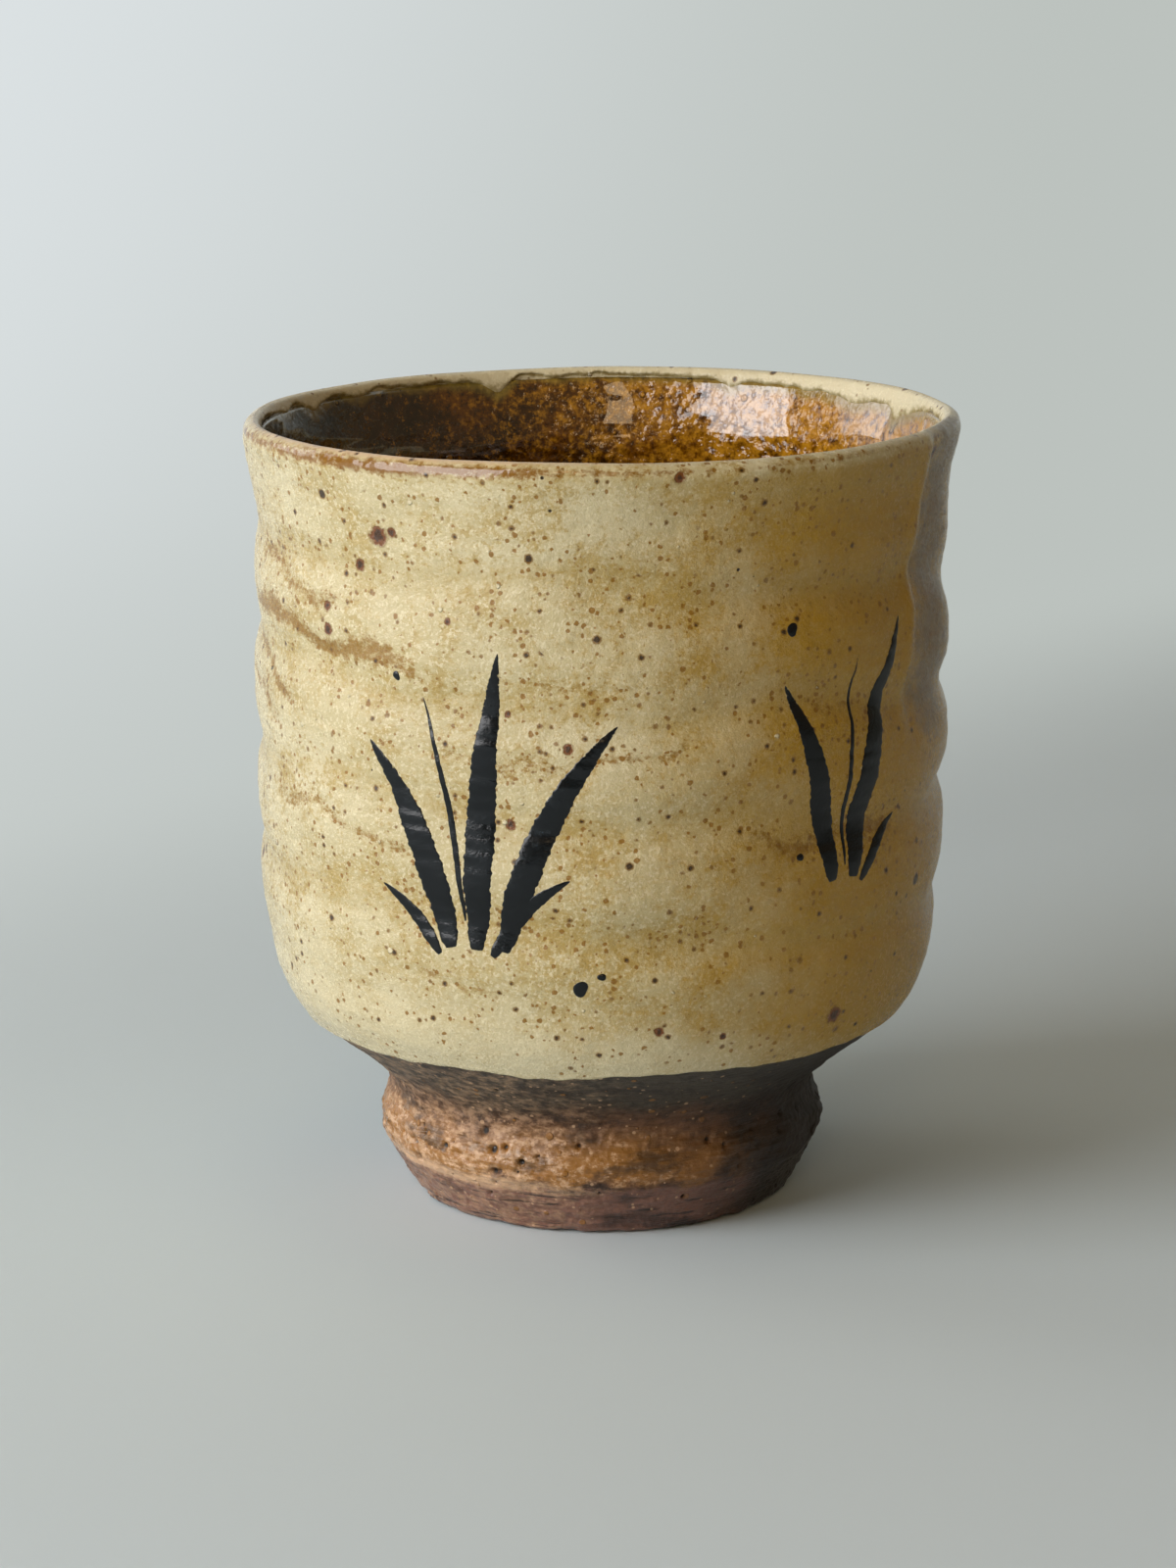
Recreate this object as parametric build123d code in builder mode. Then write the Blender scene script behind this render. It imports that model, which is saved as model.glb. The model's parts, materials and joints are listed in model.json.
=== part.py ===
from build123d import *

import os
from math import cos, radians, sin

# A thrown yunomi tea cup: one fired stoneware body with a carved foot ring, an ash glaze outside that
# laps over the lip, an amber glaze inside, and iron brushwork let into the outer glaze.
# Millimetres, +Z up, origin on the table at the middle of the foot ring.
# The wall is a ruled skin through circles. Their centres walk round the axis once for each turn of
# the throwing spiral, so a ridge on one side faces a groove on the other, as fingers leave it.

# Outside of the glazed wall
cup_height = 90.2
belly_radius = 39.3
belly_height = 56.0
hip_height = 31.0
hip_draw = 1.0
waist_draw = 0.5
lip_rise = 10.7
lip_flare = 1.6
lip_drop = 1.4
glaze_line_height = 22.5
turn_rise = 2.3
turn_draw = 1.6
glaze_line_draw = 1.9

# Throwing spiral
ring_pitch = 12.4
ring_drift = 0.45
ring_crest_height = 48.5
ring_sections = 3
ring_fade = 8.0
hand_drift = 0.1

# Bare foot
foot_base_radius = 21.8
foot_bulge = 3.9
foot_bulge_height = 8.8
foot_bulge_width = 2.2
foot_neck_draw = 1.2
foot_neck_height = 12.6
foot_neck_width = 2.0
foot_ring_width = 5.2
recess_depth = 7.5
floor_thickness = 7.5

# Thickness of the whole wall, and the inside of the mouth
floor_radius = 19.5
bowl_rise = 14.0
bowl_wall = 3.7
hip_fairing = 5.0
waist_wall = 2.6
mouth_wall = 1.6
mouth_crest_width = 0.5
throat_drop = 6.2
lap_depth = 2.4

# Finger mark down the right side, from the belly to the lip: a wedge, steep in front and shallow
# behind. Its azimuth runs from the front, -Y, towards +X.
mark_azimuth = 62.0
mark_rise = 3.2
mark_front_width = 6.0
mark_back_width = 18.0
mark_clearance = 3.0
mark_stations = (
    # rise above the waist, depth under the waist's radius, and shift towards the back
    (-25.0, -0.7, -3.0),
    (-1.0, 0.85, 0.0),
    (12.0, -1.6, 2.0),
)

# Coats of glaze
hip_coat = 0.8
waist_coat = 0.7
glaze_edge = 0.5
lip_coat = 0.6
liner_coat = 0.5

# Brushwork: clumps of reed leaves. Azimuths run from the front, -Y, towards +X.
reed_foot_height = 37.0
leaf_length = 30.0
leaf_width = 3.2
leaf_foot_width = 1.2
leaf_spacing = 3.0
leaf_bend = 0.45
brush_reach = 3.0
brush_depth = 7.5
reed_clumps = {
    # name: azimuth in degrees, rise of the feet in leaf lengths,
    # then lean in degrees and length in leaf lengths of each leaf
    "brush_reeds_front": (-20, 0.0, ((-20, 0.8), (3, 1.1), (22, 0.93))),
    "brush_reeds_side": (42, 0.2, ((-13, 0.77), (12, 0.95))),
    "brush_reeds_back": (168, 0.03, ((-10, 1.07), (17, 0.83))),
}

# Radii and heights that follow, from the foot up
foot_bulge_radius = foot_base_radius + foot_bulge
foot_neck_radius = foot_bulge_radius - foot_neck_draw
hip_radius = belly_radius - hip_draw
turn_radius = hip_radius - turn_draw
glaze_line_radius = turn_radius - glaze_line_draw
waist_radius = belly_radius - waist_draw
lip_radius = waist_radius + lip_flare
floor_height = recess_depth + floor_thickness
bowl_height = floor_height + bowl_rise
bowl_radius = hip_radius - bowl_wall
turn_height = glaze_line_height + turn_rise
wall_foot_height = hip_height + hip_fairing
waist_height = cup_height - lip_rise
throat_height = cup_height - throat_drop
lap_height = cup_height - lap_depth
clay_top = cup_height - lip_drop


def centre(height, drift):
    """Centre of a section: it walks once round the axis in each turn of the throwing spiral."""
    walk = radians(360 * (ring_crest_height - height) / ring_pitch)
    return (-drift * cos(walk), -drift * sin(walk))


def thrown(stations):
    """Solid with a ruled skin through one circle per station of height, radius and drift."""
    with BuildPart() as blank:
        for height, radius, drift in stations:
            with BuildSketch(Plane.XY.offset(height)):
                with Locations(centre(height, drift)):
                    Circle(radius)
        loft(ruled=True)
    return blank.part


def turned(*corners):
    """Solid turned about the axis, from a profile of radius and height pairs that starts and ends on it."""
    with BuildPart() as blank:
        with BuildSketch(Plane.XZ):
            with BuildLine():
                Polyline(*corners, close=True)
            make_face()
        revolve(axis=Axis.Z)
    return blank.part


def wall_radius(height):
    """Mean outside radius from hip to waist, full at the belly."""
    if height < belly_height:
        swell, reach = belly_radius - hip_radius, belly_height - hip_height
    else:
        swell, reach = belly_radius - waist_radius, waist_height - belly_height
    return belly_radius - swell * abs((height - belly_height) / reach) ** 3


def ringed_wall():
    """Stations of the ringed wall, the drift fading out towards hip and waist."""
    steps = round(ring_sections * (waist_height - hip_height) / ring_pitch)
    for i in range(steps + 1):
        height = hip_height + (waist_height - hip_height) * i / steps
        fade = min(1, (height - hip_height) / ring_fade, (waist_height - height) / ring_fade)
        yield (height, wall_radius(height), hand_drift + (ring_drift - hand_drift) * fade)


def finger_mark(cover):
    """Wedge that the finger took out of the wall, moved in by the coat that covers the surface it cuts."""
    turn = radians(mark_azimuth)
    with BuildPart() as wedge:
        for rise, depth, shift in mark_stations:
            root = waist_radius - cover - depth
            side = root + mark_rise
            clear = side + mark_clearance
            with BuildSketch(
                Plane((0, 0, waist_height + rise), x_dir=(sin(turn), -cos(turn), 0), z_dir=(0, 0, 1))
            ):
                with BuildLine():
                    Polyline(
                        (root, shift),
                        (side, shift + mark_back_width),
                        (clear, shift + mark_back_width),
                        (clear, shift - mark_front_width),
                        (side, shift - mark_front_width),
                        close=True,
                    )
                make_face()
        loft(ruled=True)
    return wedge.part


# Outside of the glaze from the glaze line up
glaze_form = thrown(
    [
        (glaze_line_height, glaze_line_radius, 0),
        (turn_height, turn_radius, hand_drift),
        *ringed_wall(),
        (clay_top, lip_radius, 0),
        (cup_height, lip_radius - mouth_wall + mouth_crest_width, 0),
    ]
)

# Outside of the clay under the glaze: rounded hip, straight wall, flared lip
straight_radius = waist_radius - waist_coat
with BuildPart() as wall_form:
    add(
        thrown(
            [
                (glaze_line_height, glaze_line_radius - glaze_edge, 0),
                (turn_height, turn_radius - hip_coat, hand_drift),
                (hip_height, hip_radius - hip_coat, hand_drift),
                (wall_foot_height, straight_radius, 0),
            ]
        )
    )
    with BuildSketch(Plane.XY.offset(wall_foot_height)):
        Circle(straight_radius)
    extrude(amount=waist_height - wall_foot_height)
    add(
        thrown(
            [
                (waist_height, straight_radius, 0),
                (clay_top, lip_radius - lip_coat, hand_drift),
            ]
        )
    )

# Bare foot, turned with a full bulge under a narrow neck
foot_form = turned(
    (0, 0),
    (foot_base_radius, 0),
    (foot_bulge_radius, foot_bulge_height - foot_bulge_width / 2),
    (foot_bulge_radius, foot_bulge_height + foot_bulge_width / 2),
    (foot_neck_radius, foot_neck_height - foot_neck_width / 2),
    (foot_neck_radius, foot_neck_height + foot_neck_width / 2),
    (glaze_line_radius - glaze_edge, glaze_line_height),
    (0, glaze_line_height),
)


def hollow(coat):
    """Space inside the cup, grown by a coat: a turned bowl below, a thrown throat above it."""
    with BuildPart() as space:
        add(
            turned(
                (0, floor_height - coat),
                (floor_radius, floor_height - coat),
                (bowl_radius + coat, bowl_height),
                (0, bowl_height),
            )
        )
        add(
            thrown(
                [
                    (bowl_height, bowl_radius + coat, 0),
                    (throat_height, waist_radius - waist_wall + coat, hand_drift),
                    (cup_height, lip_radius - mouth_wall + coat, 0),
                ]
            )
        )
    return space.part


drink_space = hollow(0)
clay_hollow = hollow(liner_coat)

# Fired clay: wall, floor and foot ring in one piece
with BuildPart() as clay_body:
    add(foot_form)
    add(wall_form.part)
    add(finger_mark(waist_coat), mode=Mode.SUBTRACT)
    add(clay_hollow, mode=Mode.SUBTRACT)
    with BuildSketch():
        Circle(foot_base_radius - foot_ring_width)
    extrude(amount=recess_depth, mode=Mode.SUBTRACT)
clay_body.part.label = "clay_body"

# Amber lining from the floor up to just under the lip
with BuildPart() as liner_glaze:
    add(clay_hollow)
    add(drink_space, mode=Mode.SUBTRACT)
    split(bisect_by=Plane.XY.offset(lap_height), keep=Keep.BOTTOM)
liner_glaze.part.label = "liner_glaze"

# Ash glaze over the outside and the lip, before the brushwork is let in
with BuildPart() as whole_coat:
    add(glaze_form)
    add(finger_mark(0), mode=Mode.SUBTRACT)
    add(drink_space, mode=Mode.SUBTRACT)
    add(clay_body.part, mode=Mode.SUBTRACT)
    add(liner_glaze.part, mode=Mode.SUBTRACT)


def leaf(foot_x, foot_z, lean, length):
    """Outline of one brushed leaf: fine at the foot, full at the bend, ending in a point."""
    foot = Vector(foot_x, foot_z)
    bend = foot + Vector(0, leaf_bend * length).rotate(Axis.Z, -lean / 2)
    tip = foot + Vector(0, length).rotate(Axis.Z, -lean)
    Polyline(
        foot - (leaf_foot_width / 2, 0),
        foot + (leaf_foot_width / 2, 0),
        bend + (leaf_width / 2, 0),
        tip,
        bend - (leaf_width / 2, 0),
        close=True,
    )


def brushed(azimuth, rise, leaves):
    """One clump of leaves, let into the glaze over the wall that faces the azimuth."""
    foot_z = reed_foot_height + rise * leaf_length
    turn = radians(azimuth)
    outward = Vector(sin(turn), -cos(turn), 0)
    paper = Plane(outward * (belly_radius + brush_reach), x_dir=(cos(turn), sin(turn), 0), z_dir=outward)
    with BuildPart() as clump:
        for i, (lean, share) in enumerate(leaves):
            foot_x = leaf_spacing * (i - (len(leaves) - 1) / 2)
            with BuildSketch(paper):
                with BuildLine():
                    leaf(foot_x, foot_z, lean, share * leaf_length)
                make_face()
            extrude(amount=-brush_depth)
        add(whole_coat.part, mode=Mode.INTERSECT)
    return clump.part


marks = []
for name, (azimuth, rise, leaves) in reed_clumps.items():
    mark = brushed(azimuth, rise, leaves)
    mark.label = name
    marks.append(mark)

# Ash glaze with the brushwork let in
with BuildPart() as outer_glaze:
    add(whole_coat.part)
    add(marks, mode=Mode.SUBTRACT)
outer_glaze.part.label = "outer_glaze"

os.makedirs("parts", exist_ok=True)
for piece in (clay_body.part, liner_glaze.part, outer_glaze.part, *marks):
    export_step(piece, f"parts/{piece.label}.step")
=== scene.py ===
"""Thrown yunomi tea cup: fired clay, glazes and brushwork round the packed frame, in a plain studio."""

import json
import math

import bpy
import numpy as np
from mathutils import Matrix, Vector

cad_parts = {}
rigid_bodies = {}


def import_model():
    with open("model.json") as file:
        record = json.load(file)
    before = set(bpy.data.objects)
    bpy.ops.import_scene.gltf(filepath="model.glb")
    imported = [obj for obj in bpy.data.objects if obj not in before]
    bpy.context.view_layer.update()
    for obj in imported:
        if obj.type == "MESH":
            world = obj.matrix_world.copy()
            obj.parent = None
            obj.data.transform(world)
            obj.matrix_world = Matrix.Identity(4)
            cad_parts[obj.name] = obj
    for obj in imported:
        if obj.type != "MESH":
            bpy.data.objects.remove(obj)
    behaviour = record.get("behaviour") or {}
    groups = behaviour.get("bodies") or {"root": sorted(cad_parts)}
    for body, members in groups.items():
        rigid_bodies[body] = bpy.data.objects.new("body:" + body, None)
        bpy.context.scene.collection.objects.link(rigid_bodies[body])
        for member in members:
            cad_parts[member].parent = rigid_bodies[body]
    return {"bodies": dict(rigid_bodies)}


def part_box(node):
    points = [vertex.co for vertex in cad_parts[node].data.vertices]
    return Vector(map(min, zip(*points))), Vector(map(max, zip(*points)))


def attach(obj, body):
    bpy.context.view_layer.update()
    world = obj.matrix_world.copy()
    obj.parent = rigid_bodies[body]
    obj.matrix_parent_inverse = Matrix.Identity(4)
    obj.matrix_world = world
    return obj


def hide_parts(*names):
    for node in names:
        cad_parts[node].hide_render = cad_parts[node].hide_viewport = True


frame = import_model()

bl_info = {
    "name": "Thrown Tea Cup",
    "version": (1, 0, 0),
    "blender": (4, 5, 0),
    "location": "3D View > Sidebar > Tea Cup",
    "description": "Builds a glazed stoneware tea cup with brushed reeds, in a plain studio",
    "category": "Add Mesh",
}

MM = 0.001
TURN = 2 * math.pi
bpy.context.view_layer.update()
COAT_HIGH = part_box("outer_glaze")[1]
BODY = next(iter(frame["bodies"]))


# ---- settings


def length(name, description, default):
    """A size in metres that the sidebar shows with its unit."""
    return bpy.props.FloatProperty(
        name=name, description=description, default=default, unit="LENGTH", subtype="DISTANCE", precision=5
    )


def linear(code):
    """Linear colour of an sRGB hex value such as #c9bc93."""
    channels = [int(code[i : i + 2], 16) / 255 for i in (1, 3, 5)]
    return (*(c / 12.92 if c <= 0.04045 else ((c + 0.055) / 1.055) ** 2.4 for c in channels), 1.0)


def colour(name, description, code):
    """A linear colour, written as its sRGB hex value, that the sidebar shows as a swatch."""
    return bpy.props.FloatVectorProperty(
        name=name, description=description, default=linear(code), size=4, subtype="COLOR", min=0, max=1
    )


def power(name, description, default):
    """The power of a lamp, in watts."""
    return bpy.props.FloatProperty(name=name, description=description, default=default, unit="POWER")


class CupShape(bpy.types.PropertyGroup):
    """Sizes of the thrown cup"""

    ring_pitch: length("Ring pitch", "Rise of the throwing spiral in one turn", 12.4 * MM)
    ring_depth: length("Ring depth", "Half the height of a throwing ring", 0.48 * MM)
    ring_crest: length("Ring crest", "Height of a crest on the left side", 48.5 * MM)
    gutter_depth: length("Gutter depth", "Depth of the finger mark down the right side", 1.1 * MM)
    lip_tilt: bpy.props.FloatProperty(
        name="Lip tilt", description="Rise of the lip towards the right, per unit of length", default=0.008
    )
    coat: length("Coat", "Thickness of the outer glaze", 0.65 * MM)
    liner: length("Liner", "Thickness of the inner glaze", 0.45 * MM)
    columns: bpy.props.IntProperty(
        name="Columns", description="Faces round the cup", default=720, min=64, subtype="UNSIGNED"
    )


class CupColours(bpy.types.PropertyGroup):
    """Colours of the fired surfaces"""

    cream: colour("Cream", "Ash glaze where it lies even", "#c6b88c")
    milk: colour("Milk", "Ash glaze where it is thick and milky", "#ddd2ae")
    tan: colour("Tan", "Ash glaze between the milky grains", "#ae9450")
    # Toast is also painted shade: the darker ochre lies on the side away from the lamps
    toast: colour("Toast", "Ash glaze on the side that the fire toasted", "#ac8412")
    ochre: colour("Ochre", "Ash glaze pooled in the rings and drag lines", "#8a620a")
    freckle: colour("Freckle", "Grains of wood ash melted into the glaze", "#8a6010")
    crest: colour("Crest", "Thin glaze on the crest of the lip", "#d2b086")
    rust: colour("Rust", "Glaze broken to rust beside the crest", "#7c4e04")
    olive: colour("Olive", "Ash glaze run thin over the amber", "#857230")
    speck: colour("Speck", "Rusty edge of the iron specks", "#7c5614")
    iron: colour("Iron", "Iron burnt through the glaze", "#2e1e0a")
    blot: colour("Blot", "Larger spots where iron grit melted", "#76451c")
    smoke: colour("Smoke", "Grey glaze beside the finger mark", "#7c6e58")
    # Inside, amber and honey also paint light where the lamps light the wall, and dark amber paints shade
    amber: colour("Amber", "Inner glaze where it runs thin", "#744504")
    honey: colour("Honey", "Gold flecks in the inner glaze", "#c48a20")
    amber_dark: colour("Dark amber", "Inner glaze where it pools", "#120800")
    clay_brown: colour("Clay brown", "Bare clay of the foot", "#64432c")
    clay_grey: colour("Clay grey", "Bare clay just under the glaze", "#463e32")
    clay_flash: colour("Flash", "Orange where ash has flashed the clay", "#96662c")
    # Sand also paints highlights on the side of the foot that faces the lamps and along its ridge
    clay_sand: colour("Sand", "Pale grit in the clay", "#cfa984")
    clay_plum: colour("Plum", "Cut clay of the foot ring", "#7a5546")
    # Char also paints shade on the side of the foot away from the lamps
    clay_char: colour("Char", "Clay darkened away from the fire", "#1a1009")
    brush: colour("Brushwork", "Iron pigment, blue-black in the glaze", "#060b0f")
    brush_dry: colour("Dry brushwork", "Iron pigment where it crusted grey", "#1f262a")


class StudioSettings(bpy.types.PropertyGroup):
    """Lights, floor and camera"""

    key: power("Key light", "Power of the large lamp at the front left", 10.1)
    side: power("Side light", "Power of the weak lamp at the back left", 1.9)
    room: power("Room light", "Power of the small warm lamp beside the camera", 0.7)
    fill: bpy.props.FloatProperty(
        name="Fill light", description="Strength of the even light all round", default=0.22, min=0
    )
    key_tint: colour("Key tint", "Colour of the key light", "#fdfdff")
    fill_tint: colour("Fill tint", "Colour of the fill light", "#ffdfb2")
    table: colour("Table", "Pale grey surface that the cup stands on", "#d0dde3")
    backdrop: colour("Backdrop", "Pale grey behind the cup, away from the window", "#bcc2be")
    backdrop_lit: colour("Lit backdrop", "Paler grey behind the cup, towards the window", "#dde3e5")


# ---- outlines, radius and height in millimetres

# Recess under the foot, from the middle of its ceiling down its wall
RECESS_OUTLINE = [
    (0.4, 7.5), (4.0, 7.5), (8.0, 7.5), (12.0, 7.5), (15.4, 7.5), (16.3, 7.5),
    (16.6, 7.1), (16.6, 5.4), (16.6, 3.6), (16.6, 2.2),
]
# Foot from the rounded inner edge of the ring to just under the glaze line
FOOT_OUTLINE = [
    (16.6, 1.2), (16.9, 0.25), (17.8, 0.0), (20.9, 0.0), (21.7, 0.3), (22.4, 1.4), (23.4, 3.3), (24.6, 5.4),
    (25.0, 6.1), (25.4, 6.8), (25.65, 8.0), (25.6, 9.4), (25.0, 11.0), (24.6, 12.3), (24.8, 13.6),
    (25.6, 14.9), (26.9, 16.2), (28.4, 17.5), (30.3, 19.0), (32.4, 20.6), (34.4, 22.4), (35.3, 23.6),
]
# Clay under the outer glaze, over the lip and down behind the lining to the floor
CLAY_OUTLINE = [
    (35.3, 23.6), (36.4, 26.4), (37.4, 31.0), (38.0, 38.0), (38.4, 56.0), (38.0, 79.5), (38.8, 84.6),
    (39.6, 88.2), (39.2, 89.2), (38.7, 89.2), (38.2, 87.8), (37.4, 84.5), (36.7, 79.0), (36.1, 56.0),
    (35.6, 38.0), (35.2, 31.5), (33.8, 27.2), (30.0, 22.8), (24.8, 18.4), (18.8, 15.6), (9.0, 14.6),
    (0.0, 14.5),
]
# Outer glaze from its rolled lower edge up to the crest of the lip
COAT_OUTLINE = [
    (34.35, 22.3), (34.8, 22.3), (35.25, 22.9), (36.45, 24.7), (37.4, 27.0), (38.2, 31.0), (38.75, 36.0),
    (39.15, 45.0), (39.3, 56.0), (39.15, 68.0), (38.85, 79.5), (39.55, 84.6), (40.2, 87.6), (40.36, 88.7),
    (40.0, 89.75), (39.2, 90.2),
]
# Inside of the mouth, over the lap: from the crest of the lip down
MOUTH_OUTLINE = [
    (39.2, 90.2), (38.65, 90.0), (38.2, 89.3), (37.8, 88.1), (37.3, 86.4), (36.85, 84.4), (36.45, 81.0),
]
# Amber lining, from behind the lap down to the middle of the floor
LINER_OUTLINE = [
    (38.25, 89.0), (37.95, 88.1), (37.45, 86.4), (36.85, 84.4), (36.2, 79.0), (35.55, 56.0), (35.0, 38.0),
    (34.55, 32.0), (33.2, 27.7), (29.5, 23.4), (24.4, 19.0), (18.6, 16.2), (9.0, 15.2), (0.0, 15.0),
]

# Length of the faces along an outline: on the glaze, on the foot, on the lining, and where they are hidden
FINE = 0.34 * MM
FOOT_FINE = 0.24 * MM
LINER_FINE = 0.6 * MM
HIDDEN = 2.5 * MM
# Points worked out between two corners of an outline, before they are spaced evenly
CURVE_STEPS = 40


def smooth_curve(points, spacing):
    """Evenly spaced points, in metres, on the smooth curve through an outline."""
    knots = np.array(points) * MM
    span = np.linalg.norm(np.diff(knots, axis=0), axis=1)[:, None]
    slope = np.diff(knots, axis=0) / span
    bend = (slope[:-1] * span[1:] + slope[1:] * span[:-1]) / (span[:-1] + span[1:])
    tangent = np.vstack([slope[:1], bend, slope[-1:]])
    share = np.linspace(0, 1, CURVE_STEPS, endpoint=False)[:, None]
    runs = [
        (2 * share**3 - 3 * share**2 + 1) * knots[i]
        + (share**3 - 2 * share**2 + share) * span[i] * tangent[i]
        + (3 * share**2 - 2 * share**3) * knots[i + 1]
        + (share**3 - share**2) * span[i] * tangent[i + 1]
        for i in range(len(span))
    ]
    fine = np.vstack([*runs, knots[-1:]])
    run = run_along(fine)
    even = np.linspace(0, run[-1], round(run[-1] / spacing) + 1)
    across, high = (np.interp(even, run, fine[:, k]) for k in (0, 1))
    return np.column_stack([across, np.maximum(high, 0)])


def run_along(points):
    """Distance along a line of points from its start."""
    return np.concatenate([[0], np.cumsum(np.linalg.norm(np.diff(points, axis=0), axis=1))])


def smooth_step(low, high, value):
    """0 below low, 1 above high and a smooth rise between them."""
    share = np.clip((value - low) / (high - low), 0, 1)
    return share * share * (3 - 2 * share)


def bump(middle, width, value):
    """A rounded bump of height 1."""
    return np.exp(-(((value - middle) / width) ** 2))


def ripple(azimuth, height, grain, seed, stretch=1.0, waves=48):
    """Smooth uneven relief, mostly between -1 and 1, with lumps of about one grain.

    It closes round the cup, and stretch draws the lumps out along the rings."""
    draw = np.random.default_rng(seed)
    total = np.zeros(np.broadcast(azimuth, height).shape)
    for _ in range(waves):
        heading, size, start = draw.uniform(0, TURN), draw.uniform(0.6, 1.4), draw.uniform(0, TURN)
        pace = TURN / (grain * size)
        turns = round(pace * COAT_HIGH.x * math.cos(heading) / stretch)
        total += np.cos(turns * azimuth + pace * math.sin(heading) * height + start)
    return total / math.sqrt(waves)


def ripples(azimuth, height, *layers):
    """Uneven reliefs added up, in metres: each has a depth and grain in millimetres, a seed and a stretch."""
    return sum(depth * MM * ripple(azimuth, height, size * MM, *rest) for depth, size, *rest in layers)


# ---- form of the wall

FRONT = math.radians(-90)
FOOT_RADIUS, SPOT_RADIUS, BELLY_RADIUS = 25 * MM, 39 * MM, 39.3 * MM
# The rings grow between the first two heights and fade between the last two
WALL_FOOT, WALL_FULL = 27 * MM, 37 * MM
WAIST_FULL, WAIST_TOP = 74 * MM, 84 * MM
# A palm smoothed the rings in front, a little to the left
PALM_AT, PALM_WIDTH = FRONT - math.radians(30), math.radians(48)
# The hand's unevenness grows between the first two heights, and the foot becomes the wall between the others
HAND_LOW, HAND_FULL = 16 * MM, 30 * MM
FOOT_TOP, WALL_BOTTOM = 20 * MM, 24 * MM
DRAG_DEPTH, PIT_DEPTH, WORN_DEPTH, WORN_TOP = 0.16 * MM, 0.55 * MM, 0.22 * MM, 2.2 * MM
# The lip tilts from the first height up, and is wavy between the last two
TILT_LOW, TILT_HIGH = 45 * MM, 88 * MM
WAVE_LOW, WAVE_HIGH = 80 * MM, 90 * MM
# Azimuths from +X where the fire flashed the foot (also painted light, towards the lamps), toasted the glaze
# (also painted shade, away from them) and broke the lip to rust, and where the lining ran thin (also painted
# light, facing the lamps)
FLASHED_AT, TOASTED_AT = FRONT - math.radians(48), math.radians(-22)
RUSTED_AT, THIN_AT = FRONT - math.radians(38), math.radians(35)
# Finger mark: height of its ends and their azimuths from the front
GUTTER_LOW, GUTTER_HIGH = 57 * MM, 88 * MM
GUTTER_AT_LOW, GUTTER_AT_HIGH = math.radians(60), math.radians(65.5)
# Across it, towards the back: the steep side falls to the bottom, and the shallow side rises to its end
GUTTER_EDGE, GUTTER_BOTTOM, GUTTER_END = -1.3 * MM, 0.3 * MM, 13 * MM
# The ledge of clay that the finger pushed up beside it
LEDGE_AT, LEDGE_WIDTH, LEDGE_HEIGHT = -2.3 * MM, 1.2 * MM, 0.34 * MM
# Lines that the fingers dragged in the wall, where the glaze pools ochre: from an azimuth in degrees from the
# front towards the right and a height in millimetres, to another such pair, then width and strength
DRAG_LINES = [
    (-88, 72.6, -18, 66.2, 1.5, 1.0), (-80, 77.0, -40, 72.4, 1.1, 0.8), (-84, 68.0, -54, 60.4, 1.1, 0.9),
    (-86, 63.6, -60, 56.5, 1.0, 0.8), (-30, 58.8, 2, 56.4, 1.1, 0.6), (-6, 58.6, 18, 59.3, 0.9, 0.7),
    (-14, 66.3, 8, 67.2, 1.0, 0.5), (20, 50.0, 62, 46.0, 1.5, 0.9), (-72, 51.8, -20, 47.0, 1.0, 0.7),
    (-34, 34.2, -10, 31.8, 0.8, 0.6), (30, 62.6, 66, 60.4, 0.9, 0.6), (80, 61.5, 128, 56.0, 1.3, 0.9),
    (96, 73.5, 150, 70.6, 1.1, 0.8), (140, 50.0, 196, 45.8, 1.4, 0.9), (168, 63.0, 232, 57.2, 1.2, 0.8),
    (205, 75.4, 262, 71.0, 1.3, 0.9), (222, 49.6, 270, 44.0, 1.0, 0.8), (120, 38.6, 160, 36.4, 0.9, 0.6),
]


def from_place(azimuth, place):
    """Angle from a place, kept within half a turn either way."""
    return np.mod(azimuth - place + math.pi, TURN) - math.pi


def dragged(azimuth, height):
    """How deep a point lies in the lines dragged by the fingers: 1 in the middle of the deepest."""
    depth = np.zeros(np.broadcast(azimuth, height).shape)
    waver = ripples(azimuth, height, (0.7, 14, 11))
    for turn, low, last_turn, high, width, strength in DRAG_LINES:
        start, span = FRONT + math.radians(turn), math.radians(last_turn - turn)
        share = from_place(azimuth, start + span / 2) / span + 0.5
        line = (low + (high - low) * share) * MM + waver
        window = smooth_step(0.0, 0.2, share) * (1 - smooth_step(0.7, 1.0, share))
        depth = np.maximum(depth, strength * window * bump(line, width * MM, height))
    return depth


def spiral_phase(azimuth, height, shape):
    """Turns of the throwing spiral from its crest, a little uneven as a hand leaves it."""
    drift = 0.11 * ripple(azimuth, height, 40 * MM, 3)
    return azimuth / TURN - 0.5 + (height - shape.ring_crest) / shape.ring_pitch + drift


def groove(azimuth, height, shape):
    """How deep in a groove between the rings a point lies, from 0 on a crest to 1."""
    return 0.5 - 0.5 * np.cos(TURN * spiral_phase(azimuth, height, shape))


def gutter_offset(azimuth, height):
    """Distance round the wall from the middle of the finger mark, towards the back."""
    share = np.clip((height - GUTTER_LOW) / (GUTTER_HIGH - GUTTER_LOW), 0, 1)
    middle = FRONT + GUTTER_AT_LOW + (GUTTER_AT_HIGH - GUTTER_AT_LOW) * share
    return from_place(azimuth, middle) * COAT_HIGH.x


def gutter_reach(height):
    """How full the finger mark is at a height."""
    return smooth_step(GUTTER_LOW - 4 * MM, GUTTER_LOW + 12 * MM, height) * (
        1 - 0.8 * smooth_step(GUTTER_HIGH - 3 * MM, GUTTER_HIGH + 2 * MM, height)
    )


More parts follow.
